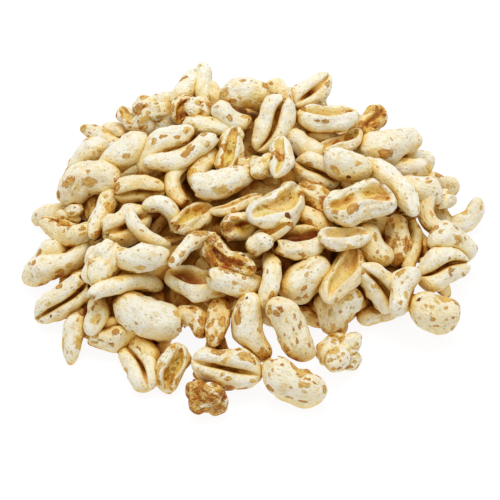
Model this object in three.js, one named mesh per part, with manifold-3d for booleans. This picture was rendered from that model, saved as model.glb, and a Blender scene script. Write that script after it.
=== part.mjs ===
// A loose heap of puffed wheat, as it lies where it was tipped out on a table: a core, rows of puffs laid
// round its back by rule, and on top the puffs that show, all fused into one solid.
// Millimetres. The origin is on the table under the middle of the heap, with +X to the right, +Y to the
// back and +Z up.

import * as THREE from 'three';
import { mergeVertices } from 'three/addons/utils/BufferGeometryUtils.js';
import Module from 'manifold-3d';

// ---- Driving dimensions -------------------------------------------------------------------------------

// The core is made of mounds, each the upper half of an ellipsoid, cut off flat by the table.
const MOUNDS = [
  { middle: new THREE.Vector3(0, 4, 0), half: new THREE.Vector3(36, 28.5, 17) },
  { middle: new THREE.Vector3(-1, 17, 0), half: new THREE.Vector3(26, 17, 18) },
  { middle: new THREE.Vector3(-25, -12, 0), half: new THREE.Vector3(15, 15, 9) },
  { middle: new THREE.Vector3(-4, -20, 0), half: new THREE.Vector3(23, 17.5, 7) },
  { middle: new THREE.Vector3(30, -8, 0), half: new THREE.Vector3(10, 11, 7) },
];
const CORE_SIDES = 16;
const CORE_RINGS = 4;
const CORE_FOOT = 1; // how far the core runs on below the table before it is cut

// The rows of puffs round the back of the heap, the lowest on the table: the height of a row's middles,
// and how many puffs lie in it.
const BACK_ROWS = [{ height: 2.8, count: 13 }, { height: 9.5, count: 11 }];
const BACK_SWEEP = THREE.MathUtils.degToRad(190); // the turn about the upright axis that a row takes up
const BACK_TILT = THREE.MathUtils.degToRad(45); // the rise of the line along which they are laid
const BACK_KINDS = ['whole', 'split', 'whole', 'open', 'whole', 'branny'];
const BACK_LENGTH = [9.5, 13];
const BACK_WIDTH = [4.8, 6.4];
const BACK_SHAKE = 1.6; // how far one may lie above or below its row
const BACK_SEED = 42;

// The heap is seen from in front and above: what shows is measured across and up on a sheet held square to
// this sight line, from the origin.
const SIGHT_TILT = THREE.MathUtils.degToRad(50);

// How puffs lie on each other.
const SHELL = 4.5; // how far above the core puffs' middles lie
const LIFT = 3; // how much farther out than that a puff may be pushed by those under it
const SINK = 2.5; // how much farther in than that it may lie
const SOFTNESS = 0.72; // share of two puffs' radii at which they count as touching
const BITE = 1; // how far a puff is pressed on into what it rests on, so that the two fuse
const BITE_VOLUME = 1; // mm3 that a puff must share with the rest to count as fused
const DRAW_STEP = 0.4; // a puff that doesn't fuse yet is drawn in towards the heap's middle by such steps
const DRAW_LIMIT = 12; // and by no more than this many
const PITCHES = [0, 0.25, -0.25, 0.5, -0.5]; // the tilts tried for each puff, rise over run
const BALLS = [-0.8, -0.4, 0, 0.4, 0.8]; // places along a puff of the balls that feel for contact
const LEAN_LIMIT = 0.75; // most that a puff's axis leans along the sight line

// The kinds of puff. deep: its thickness as a share of its width. crease: how deep the crease cuts, as a
// share of the radius. gape: half the crease's opening, in radians. roll: turns the crease away from the
// eye, in degrees. bend: how far the puff curls towards its crease, in degrees. A hollow puff has the form
// of an open one, and differs from it in the colour of its inside.
const KINDS = {
  whole: { deep: 0.92, crease: 0.35, gape: 0.32, roll: 170, bend: 14 },
  split: { deep: 0.8, crease: 0.66, gape: 0.34, roll: 0, bend: 8 },
  open: { deep: 0.68, crease: 0.86, gape: 0.78, roll: -12, bend: 10 },
  hollow: { deep: 0.68, crease: 0.86, gape: 0.78, roll: -12, bend: 10 },
  branny: { deep: 0.72, crease: 0.6, gape: 0.6, roll: 10, bend: 6 },
  curled: { deep: 0.95, crease: 0.45, gape: 0.4, roll: 60, bend: 150 },
  popped: { deep: 0.9, lumps: 6 },
};
const END_POWER = 2.5; // how blunt a puff's ends are: 2 is an ellipse, more is blunter
const LUMP_OFFSET = 0.42; // a lump's distance from a popped puff's middle, as a share of its radius
const LUMP_RADIUS = 0.62;

// The puffs that show, lowest first: kind, how far across and up on the sheet its middle is seen, the
// heading of its long axis in degrees, its seen length and width, and where they aren't its kind's own, its
// roll and its bend.
const SHOWN = [
  // back edge, left to right
  ['whole', -32.8, 18.6, 35, 9.5, 6.2],
  ['whole', -29.8, 22.6, -22, 10.5, 3.8],
  ['open', -24.6, 26.4, -50, 6, 4.2],
  ['popped', -18.8, 27.4, 20, 10.2, 9],
  ['whole', -7.4, 30.4, -20, 8.6, 5.4],
  ['whole', -13, 32.4, 48, 8.4, 5.2],
  ['whole', -9.6, 33.2, 96, 8.8, 4.2],
  ['branny', -13.8, 28.2, 60, 6.4, 4.8],
  ['popped', -10.2, 28, 0, 5.6, 5],
  ['whole', 0.2, 31.2, -5, 13.4, 6.8],
  ['whole', -4.2, 26.6, -20, 8.6, 5.2],
  ['whole', 5.6, 31.4, -40, 6.4, 4.2],
  ['split', 12, 31.8, 42, 9.6, 6],
  ['whole', 14, 22.4, 0, 8.6, 4.6],
  ['open', 15.2, 26.4, 3, 12.6, 7.6, -62, 26],
  ['whole', 27.8, 20.8, 12, 12.4, 7.2],
  ['open', 18.2, 21.4, 30, 9.4, 5, -50],
  ['branny', 23.8, 25.6, 58, 7.8, 4.6],
  // left flank
  ['whole', -42, -2.6, 42, 12, 7.2],
  ['curled', -36.8, 4.4, -8, 10.6, 5.6, -65, 90],
  ['popped', -36.2, 7.2, 0, 5, 4.6],
  ['whole', -29.2, 8.2, 66, 12.8, 4.8],
  ['whole', -32.8, 13.6, 22, 13.6, 8.2],
  ['whole', -25.2, 19.4, 30, 11.6, 6.8],
  ['whole', -9.2, 24.6, -8, 10, 4.6],
  ['whole', -17.8, 20.4, 42, 14.6, 5.8],
  ['whole', -9.8, 16.4, 60, 9, 4.6],
  ['curled', -13.8, 13.4, 80, 8.6, 4.6, 80, 150],
  ['split', -22.4, 12, 5, 10.6, 6.6, 35],
  ['whole', -13.8, 19, 19, 16.2, 4.8],
  ['split', -25, 5, 24, 10.6, 8],
  ['whole', -20.8, 3.8, -40, 11, 4, -95, 70],
  ['curled', -17.6, 6.8, -38, 8, 4.2, 75, 150],
  // crown
  ['branny', -2.4, 4.8, 20, 8, 6],
  ['open', -11.8, 6.4, 30, 9, 6, -30],
  ['open', -4.2, 20, 74, 10, 5.6],
  ['popped', -0.4, 16.6, 0, 5.6, 5],
  ['whole', -6, 13.4, 10, 13, 6.6],
  ['whole', 10.2, 20.6, -40, 10, 5.6],
  ['split', 4.2, 26, 60, 12.6, 7.6],
  ['popped', 2.8, 16.8, 0, 6, 5.4],
  ['open', 5.8, 18.4, 80, 8.4, 5.2, -20],
  ['split', 13, 15.6, -25, 9.8, 8],
  ['open', -3, 8.8, 15, 11.4, 3.8, -60],
  ['branny', 13.2, 10, -45, 10, 6, 170],
  ['whole', 12.6, 5.8, -30, 9.8, 4.8],
  ['open', 4.8, 8.6, 32, 11.8, 8.2, -14],
  // right flank
  ['whole', 33.2, 11.8, -22, 10, 6.2],
  ['curled', 36.8, 7.6, 105, 8.6, 4.2, 90, 170],
  ['popped', 38.4, 10, 30, 4.6, 3.8],
  ['curled', 42.6, 6.4, 40, 7, 5, -90, 140],
  ['whole', 27.8, 12.8, -47, 15, 5.6, 120, 40],
  ['whole', 19, 16.8, -20, 9.8, 6.8],
  ['open', 21.4, 9.2, 5, 14.6, 9.6, -34],
  ['branny', 28.8, 2, 88, 10.4, 5.8, 160],
  ['whole', 32, 0.8, 86, 11, 3.6],
  ['whole', 40, 1.4, -12, 9.8, 6.6],
  ['split', 38, -3.6, 15, 11, 8.4],
  // middle
  ['whole', -38, -2.4, 30, 13.6, 5.6],
  ['split', -37.2, -10, 36, 14, 7.2],
  ['whole', -35.4, -17.6, 80, 10.8, 4.6],
  ['branny', -28.6, -17.6, 8, 8.8, 5.8, -140],
  ['whole', -31, -13.2, 80, 7.6, 5],
  ['popped', -29.8, -2.4, 70, 9.6, 7.6],
  ['whole', -22.2, -1.2, 3, 11.4, 6.6, -100, 40],
  ['whole', -11.4, -13.8, -40, 8, 5.2],
  ['whole', -20.6, -13.2, -22, 15, 8.8],
  ['whole', -25.2, -7.6, 8, 15, 4.8, 90, 50],
  ['hollow', -10.8, -6.6, -6, 13.6, 8, -50],
  ['whole', -11.8, 0.6, 32, 11.8, 3.8],
  ['whole', 10.4, -6, 38, 12, 8.2],
  ['whole', -3, -6.6, -10, 12.4, 5.8],
  ['whole', 3, -5.6, 84, 10.8, 5, -90, 64],
  ['branny', -4.6, -1.6, -32, 12, 6],
  ['hollow', 9.2, 1.8, 5, 11.4, 8.2, -44],
  ['open', 4.2, 3.8, 22, 8.6, 4],
  ['whole', 1.6, 1.2, 20, 5.4, 4.6],
  ['whole', 23.8, 0.8, -38, 10.4, 7],
  ['open', 18.4, 2.4, 2, 10.6, 6, -52],
  ['whole', 25, -12.8, 8, 8.6, 4.4],
  ['whole', 16.8, -11.6, 60, 10.8, 8.4],
  ['open', 18, -5.2, 64, 12.4, 7],
  ['split', 25.6, -7.2, -46, 12, 7],
  ['whole', 30, -8.2, 62, 10.6, 5.4],
  ['whole', 36, -12.4, -24, 9.8, 8.8],
  // front fringe, on the table
  ['whole', -7, -14.2, 82, 9.6, 5],
  ['open', -15.8, -23.4, 76, 10.4, 6.6, 8],
  ['split', -22.2, -23.2, -62, 9.8, 7],
  ['split', -5, -23.4, -13, 14.4, 8.6],
  ['whole', 0, -15.4, -76, 14.4, 6.6],
  ['whole', 7.8, -15.6, -56, 14.4, 7.4],
  ['popped', -9, -30.8, 0, 8.2, 7.8],
  ['whole', 8.6, -25.4, -28, 12.2, 9.4, -90, 104],
  ['popped', 18.2, -21, 35, 9.8, 8],
];

// How finely puffs are cut: places round a section, in radians from the crease, and rings along the puff.
const CREASED_SECTION = [0, 0.7, 1.6, 2.6, -2.6, -1.6, -0.7];
const PLAIN_SECTION = [0.52, 1.57, 2.62, -2.62, -1.57, -0.52];
const BACK_SECTION = [0.63, 1.88, Math.PI, -1.88, -0.63];
const BACK_RINGS = [-0.6, 0.6];
const SHORT_RINGS = [-0.68, 0, 0.68];
const LONG_RINGS = [-0.76, -0.28, 0.28, 0.76];
const BENT_RINGS = [-0.82, -0.42, 0, 0.42, 0.82];
const SHORT_LENGTH = 10.5; // mm
const BENT_FROM = THREE.MathUtils.degToRad(80);
const FACET_SWELL = 1.06; // makes up for the volume that flat facets cut off
const STRAIGHT = 1e-3; // a bend smaller than this is no bend
const MERGE_GAP = 1e-4; // points closer than this are one
const CHANCE_FACTOR = 16807; // each number of a chance run is the last one times this, kept below the limit
const CHANCE_LIMIT = 2 ** 31 - 1;

const TABLE_SIDE = 300; // the block that cuts the heap off flat at the table's surface
const TABLE_DEPTH = 40;
const CREAM = '#efe0bb';

// ---- Vectors and chance -------------------------------------------------------------------------------

const TO_EYE = new THREE.Vector3(0, -Math.cos(SIGHT_TILT), Math.sin(SIGHT_TILT));
const RIGHT = new THREE.Vector3(1, 0, 0);
const UP = new THREE.Vector3(0, Math.sin(SIGHT_TILT), Math.cos(SIGHT_TILT));
const UPRIGHT = new THREE.Vector3(0, 0, 1);

const sum = (...terms) => terms.reduce((all, [v, k]) => all.addScaledVector(v, k), new THREE.Vector3());
const cross = (a, b) => new THREE.Vector3().crossVectors(a, b);

// A repeatable run of numbers from 0 to 1.
function makeRandom(seed) {
  let state = seed;
  return () => {
    state = (state * CHANCE_FACTOR) % CHANCE_LIMIT;
    return state / CHANCE_LIMIT;
  };
}

// ---- A puff's place -----------------------------------------------------------------------------------

// How far along a direction a line leaves an ellipsoid, or minus infinity where it misses.
function leaveEllipsoid(point, direction, middle, half) {
  const p = point.clone().sub(middle).divide(half);
  const d = direction.clone().divide(half);
  const a = d.dot(d);
  const b = p.dot(d);
  const inside = b * b - a * (p.dot(p) - 1);
  return inside < 0 ? -Infinity : (-b + Math.sqrt(inside)) / a;
}

// The skin on which puffs' middles lie: the core's mounds grown by the shell. It gives how far along a line
// the skin or the table is met, and the outward normal there.
function skinAlong(start, direction) {
  let skin = { reach: -start.z / direction.z, normal: UPRIGHT };
  for (const { middle, half } of MOUNDS) {
    const grown = half.clone().addScalar(SHELL);
    const reach = leaveEllipsoid(start, direction, middle, grown);
    if (reach > skin.reach) {
      const place = sum([start, 1], [direction, reach]).sub(middle);
      skin = { reach, normal: place.divide(grown).divide(grown).normalize() };
    }
  }
  return skin;
}

// The puff's own axes: along its length, towards its crease, and across both.
function axesFor(heading, roll, pitch, normal, frame) {
  const seen = sum([frame.right, Math.cos(heading)], [frame.up, Math.sin(heading)]);
  const level = -seen.dot(normal) / frame.view.dot(normal);
  const lean = THREE.MathUtils.clamp(level + pitch, -LEAN_LIMIT, LEAN_LIMIT);
  const along = sum([seen, 1], [frame.view, lean]).normalize();
  const facing = sum([frame.view, 1], [along, -frame.view.dot(along)]).normalize();
  const side = cross(along, facing);
  const crease = sum([facing, Math.cos(roll)], [side, Math.sin(roll)]);
  return { along, crease, across: cross(along, crease), stretch: Math.hypot(1, lean) };
}

// A point of the puff's bent middle line, t from -1 to 1, with the section's axes there.
function spine(puff, t) {
  const half = puff.length / 2;
  if (puff.bend < STRAIGHT) {
    return { at: sum([puff.along, t * half]), inward: puff.crease };
  }
  const turn = (t * puff.bend) / 2;
  const radius = half / Math.sin(Math.min(puff.bend / 2, Math.PI / 2));
  const sag = radius * (1 - Math.cos(turn)) - (radius * (1 - Math.cos(puff.bend / 2))) / 2;
  return {
    at: sum([puff.along, radius * Math.sin(turn)], [puff.crease, sag]),
    inward: sum([puff.along, -Math.sin(turn)], [puff.crease, Math.cos(turn)]),
  };
}

const girth = (t) => Math.sqrt(1 - Math.abs(t) ** END_POWER);

// The balls that stand for a puff while it is laid.
const ballsOf = (puff) => BALLS.map((t) => ({
  at: spine(puff, t).at,
  radius: (girth(t) * puff.width * (1 + KINDS[puff.kind].deep)) / 4,
}));

// How far along a direction a puff must lie for all of its balls to clear the table and the core.
function groundReach(balls, start, direction) {
  return Math.max(...balls.map((ball) => {
    const p = start.clone().add(ball.at);
    const core = MOUNDS.map(({ middle, half }) => {
      const grown = half.clone().addScalar(ball.radius * SOFTNESS);
      return leaveEllipsoid(p, direction, middle, grown);
    });
    return Math.max((ball.radius - p.z) / direction.z, ...core);
  }));
}

// How far along a direction a puff must lie for all of its balls to clear those laid before it.
function heapReach(balls, start, direction, heap) {
  let reach = -Infinity;
  for (const ball of balls) {
    const p = start.clone().add(ball.at);
    for (const other of heap) {
      const gap = p.clone().sub(other.at);
      const touch = (ball.radius + other.radius) * SOFTNESS;
      const b = gap.dot(direction);
      const inside = b * b - gap.lengthSq() + touch * touch;
      if (inside > 0) reach = Math.max(reach, -b + Math.sqrt(inside));
    }
  }
  return reach;
}

// Lays a puff on the heap: of the tilts tried it takes the one that lets it lie lowest.
function lay(shape, start, heading, roll, frame, heap) {
  const skin = skinAlong(start, frame.view);
  const tried = PITCHES.map((pitch) => {
    const { stretch, ...axes } = axesFor(heading, roll, pitch, skin.normal, frame);
    const puff = { ...shape, length: shape.length * stretch, ...axes };
    const balls = ballsOf(puff);
    const lowest = Math.max(groundReach(balls, start, frame.view), skin.reach - SINK);
    const rest = Math.min(heapReach(balls, start, frame.view, heap), skin.reach + LIFT);
    return { puff, reach: Math.max(lowest, rest) };
  });
  const best = tried.reduce((a, b) => (b.reach < a.reach ? b : a));
  best.puff.middle = sum([start, 1], [frame.view, best.reach]);
  best.puff.pressed = sum([best.puff.middle, 1], [frame.view, -BITE]);
  for (const ball of ballsOf(best.puff)) {
    heap.push({ at: ball.at.add(best.puff.middle), radius: ball.radius });
  }
  return best.puff;
}

// The rows round the back, each puff pushed in from outside.
function layBack(heap) {
  const random = makeRandom(BACK_SEED);
  const between = ([low, high]) => low + (high - low) * random();
  const [{ middle, half: core }] = MOUNDS;
  const half = core.clone().addScalar(SINK);
  return BACK_ROWS.flatMap(({ height, count }, row) => Array.from({ length: count }, (_, i) => {
    const kind = BACK_KINDS[(i + row) % BACK_KINDS.length];
    const bend = THREE.MathUtils.degToRad(KINDS[kind].bend);
    const shape = { kind, length: between(BACK_LENGTH), width: between(BACK_WIDTH), bend };
    const round = Math.PI / 2 + ((i + 0.5) / count - 0.5) * BACK_SWEEP;
    const outward = new THREE.Vector3(Math.cos(round) * half.y, Math.sin(round) * half.x, 0).normalize();
    const view = sum([outward, Math.cos(BACK_TILT)], [UPRIGHT, Math.sin(BACK_TILT)]);
    const right = cross(UPRIGHT, outward);
    const frame = { view, right, up: cross(view, right) };
    const reach = Math.sqrt(1 - (height / half.z) ** 2);
    const start = new THREE.Vector3(
      middle.x + Math.cos(round) * half.x * reach,
      middle.y + Math.sin(round) * half.y * reach,
      height + BACK_SHAKE * (random() - 0.5),
    );
    return lay(shape, start, random() * Math.PI, random() * Math.PI * 2, frame, heap);
  }));
}

// The puffs that show, each moved back along the sight line from its place on the sheet.
function layShown(heap) {
  const frame = { view: TO_EYE, right: RIGHT, up: UP };
  return SHOWN.map(([kind, across, up, heading, length, width, roll, bend]) => {
    const start = sum([RIGHT, across], [UP, up]);
    const turned = THREE.MathUtils.degToRad(heading);
    const rolled = THREE.MathUtils.degToRad(roll ?? KINDS[kind].roll ?? 0);
    const bent = THREE.MathUtils.degToRad(bend ?? KINDS[kind].bend ?? 0);
    return lay({ kind, length, width, bend: bent }, start, turned, rolled, frame, heap);
  });
}

// ---- Meshes -------------------------------------------------------------------------------------------

// A geometry from a list of points and a list of corner numbers.
function meshOf(points, corners) {
  const positions = points.flatMap((p) => [p.x, p.y, p.z]);
  return new THREE.BufferGeometry()
    .setAttribute('position', new THREE.Float32BufferAttribute(positions, 3))
    .setIndex(corners);
}

// A creased puff: rings of section points along its bent middle line, closed by a point at each end.
function creasedPuff(puff, section, rings) {
  const { deep, crease, gape } = KINDS[puff.kind];
  const points = [spine(puff, -1).at];
  for (const t of rings) {
    const { at, inward } = spine(puff, t);
    const radius = (girth(t) * puff.width * FACET_SWELL) / 2;
    for (const angle of section) {
      const cut = 1 - crease * girth(t) * Math.exp(-((angle / gape) ** 2));
      const depth = radius * deep * cut * Math.cos(angle);
      const breadth = radius * cut * Math.sin(angle);
      points.push(sum([at, 1], [inward, depth], [puff.across, breadth]));
    }
  }
  points.push(spine(puff, 1).at);

  const sides = section.length;
  const last = points.length - 1;
  const corners = [];
  for (let i = 0; i < sides; i += 1) {
    const next = (i + 1) % sides;
    corners.push(0, 1 + next, 1 + i);
    corners.push(last, last - sides + i, last - sides + next);
    for (let ring = 0; ring < rings.length - 1; ring += 1) {
      const low = 1 + ring * sides;
      const high = low + sides;
      corners.push(low + i, low + next, high + i);
      corners.push(high + i, low + next, high + next);
    }
  }
  return meshOf(points, corners);
}

// A popped puff: a ball whose radius swells over each of several lumps.
function poppedPuff(puff) {
  const { deep, lumps } = KINDS.popped;
  const turn = Math.PI * (3 - Math.sqrt(5));
  const centres = Array.from({ length: lumps }, (_, i) => {
    const height = 1 - (2 * i + 1) / lumps;
    const round = Math.sqrt(1 - height * height);
    return new THREE.Vector3(round * Math.cos(i * turn), round * Math.sin(i * turn), height);
  });
  const ball = new THREE.IcosahedronGeometry(1, 1);
  ball.deleteAttribute('normal');
  ball.deleteAttribute('uv');
  const merged = mergeVertices(ball);
  const place = merged.getAttribute('position');
  const direction = new THREE.Vector3();
  const points = [];
  for (let i = 0; i < place.count; i += 1) {
    direction.fromBufferAttribute(place, i).normalize();
    const swell = Math.max(...centres.map((centre) => {
      const b = direction.dot(centre) * LUMP_OFFSET;
      return b + Math.sqrt(b * b - LUMP_OFFSET ** 2 + LUMP_RADIUS ** 2);
    }));
    points.push(sum(
      [puff.along, (direction.x * swell * puff.length) / 2],
      [puff.crease, (direction.y * swell * puff.width * deep) / 2],
      [puff.across, (direction.z * swell * puff.width) / 2],
    ));
  }
  return meshOf(points, [...merged.index.array]);
}

function ringsFor(puff) {
  if (puff.bend > BENT_FROM) return BENT_RINGS;
  return puff.length < SHORT_LENGTH ? SHORT_RINGS : LONG_RINGS;
}

function shownGeometry(puff) {
  const section = puff.kind === 'whole' ? PLAIN_SECTION : CREASED_SECTION;
  const geometry = puff.kind === 'popped' ? poppedPuff(puff) : creasedPuff(puff, section, ringsFor(puff));
  return geometry.translate(puff.pressed.x, puff.pressed.y, puff.pressed.z);
}

function backGeometry(puff) {
  const geometry = creasedPuff(puff, BACK_SECTION, BACK_RINGS);
  return geometry.translate(puff.pressed.x, puff.pressed.y, puff.pressed.z);
}

// A mound: a quarter circle turned about the upright axis, stretched to its sizes, with a skirt below.
function moundGeometry({ middle, half }) {
  const foot = -CORE_FOOT / half.z;
  const profile = [new THREE.Vector2(0, foot), new THREE.Vector2(1, foot)];
  for (let ring = 0; ring < CORE_RINGS; ring += 1) {
    const angle = (ring / CORE_RINGS) * (Math.PI / 2);
    profile.push(new THREE.Vector2(Math.cos(angle), Math.sin(angle)));
  }
  profile.push(new THREE.Vector2(0, 1));
  return new THREE.LatheGeometry(profile, CORE_SIDES)
    .rotateX(Math.PI / 2)
    .scale(half.x, half.y, half.z)
    .translate(middle.x, middle.y, 0);
}

// ---- The solid ----------------------------------------------------------------------------------------

const wasm = await Module();
wasm.setup();

function solidOf(geometry) {
  geometry.deleteAttribute('normal');
  geometry.deleteAttribute('uv');
  const merged = mergeVertices(geometry, MERGE_GAP);
  return new wasm.Manifold(new wasm.Mesh({
    numProp: 3,
    vertProperties: merged.getAttribute('position').array,
    triVerts: new Uint32Array(merged.index.array),
  }));
}

// The outer skin of the largest body: this drops loose scraps and fills sealed hollows.
const largestOf = (solid) => solid.decompose().reduce((a, b) => (b.volume() > a.volume() ? b : a));

// Fuses a puff to the rest, after drawing it in towards the heap's middle where it would hang loose.
function fuse(rest, geometry) {
  geometry.computeBoundingSphere();
  const inward = MOUNDS[0].middle.clone().sub(geometry.boundingSphere.center).setLength(DRAW_STEP);
  for (let step = 0; step < DRAW_LIMIT; step += 1) {
    const solid = solidOf(geometry.clone());
    if (rest.intersect(solid).volume() > BITE_VOLUME) return rest.add(solid);
    geometry.translate(inward.x, inward.y, inward.z);
  }
  return rest;
}

const heap = [];
const back = layBack(heap).map(backGeometry);
const shown = layShown(heap).map(shownGeometry);
const table = new THREE.BoxGeometry(TABLE_SIDE, TABLE_SIDE, TABLE_DEPTH).translate(0, 0, -TABLE_DEPTH / 2);
const core = MOUNDS.map((mound) => solidOf(moundGeometry(mound))).reduce((a, b) => a.add(b));
const fused = [...back, ...shown].reduce(fuse, core);
const mesh = largestOf(fused.subtract(solidOf(table))).getMesh();

const geometry = new THREE.BufferGeometry()
  .setAttribute('position', new THREE.BufferAttribute(mesh.vertProperties, 3))
  .setIndex(new THREE.BufferAttribute(mesh.triVerts, 1));
geometry.computeVertexNormals();
const material = new THREE.MeshStandardMaterial({ color: CREAM, roughness: 0.75, metalness: 0 });
const puffedWheat = new THREE.Mesh(geometry, material);
puffedWheat.name = 'puffed_wheat_heap';

const part = new THREE.Group();
part.add(puffedWheat);

export default part;
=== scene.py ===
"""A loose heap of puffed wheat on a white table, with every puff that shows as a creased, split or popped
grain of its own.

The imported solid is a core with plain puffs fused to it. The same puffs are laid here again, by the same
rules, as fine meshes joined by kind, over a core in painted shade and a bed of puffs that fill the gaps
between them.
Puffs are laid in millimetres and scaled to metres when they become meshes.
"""

import math

import bpy
import numpy as np
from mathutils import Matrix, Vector


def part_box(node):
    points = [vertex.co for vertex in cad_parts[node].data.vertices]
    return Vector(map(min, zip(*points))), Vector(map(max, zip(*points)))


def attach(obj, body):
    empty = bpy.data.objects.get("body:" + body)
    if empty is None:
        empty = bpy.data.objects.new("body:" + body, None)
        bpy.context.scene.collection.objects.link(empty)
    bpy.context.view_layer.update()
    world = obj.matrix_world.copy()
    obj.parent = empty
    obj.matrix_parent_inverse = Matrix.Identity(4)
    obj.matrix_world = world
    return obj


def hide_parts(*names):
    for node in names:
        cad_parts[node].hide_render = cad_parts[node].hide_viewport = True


NODE = "puffed_wheat_heap"
MM = 0.001

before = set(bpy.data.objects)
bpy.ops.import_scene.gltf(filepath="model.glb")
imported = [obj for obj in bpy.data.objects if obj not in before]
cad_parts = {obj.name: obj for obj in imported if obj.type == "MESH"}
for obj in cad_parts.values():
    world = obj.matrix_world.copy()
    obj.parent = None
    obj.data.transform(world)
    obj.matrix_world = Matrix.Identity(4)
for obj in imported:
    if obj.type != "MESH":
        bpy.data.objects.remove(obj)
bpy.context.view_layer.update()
BOX = np.array([list(corner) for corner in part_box(NODE)]) / MM  # no puff may reach out of the solid's box

# ---- Where puffs lie: the same dimensions and rules as the solid's

# The core's mounds: middle and half sizes, each the upper half of an ellipsoid.
MOUNDS = [
    ((0, 4, 0), (36, 28.5, 17)),
    ((-1, 17, 0), (26, 17, 18)),
    ((-25, -12, 0), (15, 15, 9)),
    ((-4, -20, 0), (23, 17.5, 7)),
    ((30, -8, 0), (10, 11, 7)),
]
MOUNDS = [(np.array(middle, float), np.array(half, float)) for middle, half in MOUNDS]

# The rows of puffs round the back: the height of a row's middles, and how many puffs lie in it.
BACK_ROWS = [(2.8, 13), (9.5, 11)]
BACK_SWEEP = math.radians(190)  # the turn about the upright axis that a row takes up
BACK_TILT = math.radians(45)  # the rise of the line along which they are laid
BACK_KINDS = ["whole", "split", "whole", "open", "whole", "branny"]
BACK_LENGTH = (9.5, 13)
BACK_WIDTH = (4.8, 6.4)
BACK_SHAKE = 1.6  # how far one may lie above or below its row
BACK_SEED = 42

# The heap is seen from in front and above: what shows is measured across and up on a sheet held square to
# this sight line, from the origin.
SIGHT_TILT = math.radians(50)
TO_EYE = np.array([0, -math.cos(SIGHT_TILT), math.sin(SIGHT_TILT)])
RIGHT = np.array([1.0, 0, 0])
UP = np.array([0, math.sin(SIGHT_TILT), math.cos(SIGHT_TILT)])
UPRIGHT = np.array([0, 0, 1.0])

# How puffs lie on each other.
SHELL = 4.5  # how far above the core puffs' middles lie
LIFT = 3  # how much farther out than that a puff may be pushed by those under it
SINK = 2.5  # how much farther in than that it may lie
SOFTNESS = 0.72  # share of two puffs' radii at which they count as touching
BITE = 1  # how far a puff is pressed on into what it rests on
PITCHES = [0, 0.25, -0.25, 0.5, -0.5]  # the tilts tried for each puff, rise over run
BALLS = [-0.8, -0.4, 0, 0.4, 0.8]  # places along a puff of the balls that feel for contact
LEAN_LIMIT = 0.75  # most that a puff's axis leans along the sight line

# The kinds of puff: thickness as a share of the width, the turn of the crease away from the eye, and the
# puff's curl towards it, in degrees.
KINDS = {
    "whole": {"deep": 0.92, "roll": 170, "bend": 14},
    "split": {"deep": 0.8, "roll": 0, "bend": 8},
    "open": {"deep": 0.68, "roll": -12, "bend": 10},
    "hollow": {"deep": 0.68, "roll": -12, "bend": 10},
    "branny": {"deep": 0.72, "roll": 10, "bend": 6},
    "curled": {"deep": 0.95, "roll": 60, "bend": 150},
    "popped": {"deep": 0.9, "roll": 0, "bend": 0},
}
END_POWER = 2.5  # how blunt a puff's ends are: 2 is an ellipse, more is blunter
LUMPS = 6  # of a popped puff
STRAIGHT = 1e-3  # a bend below this, in radians, is none

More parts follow.
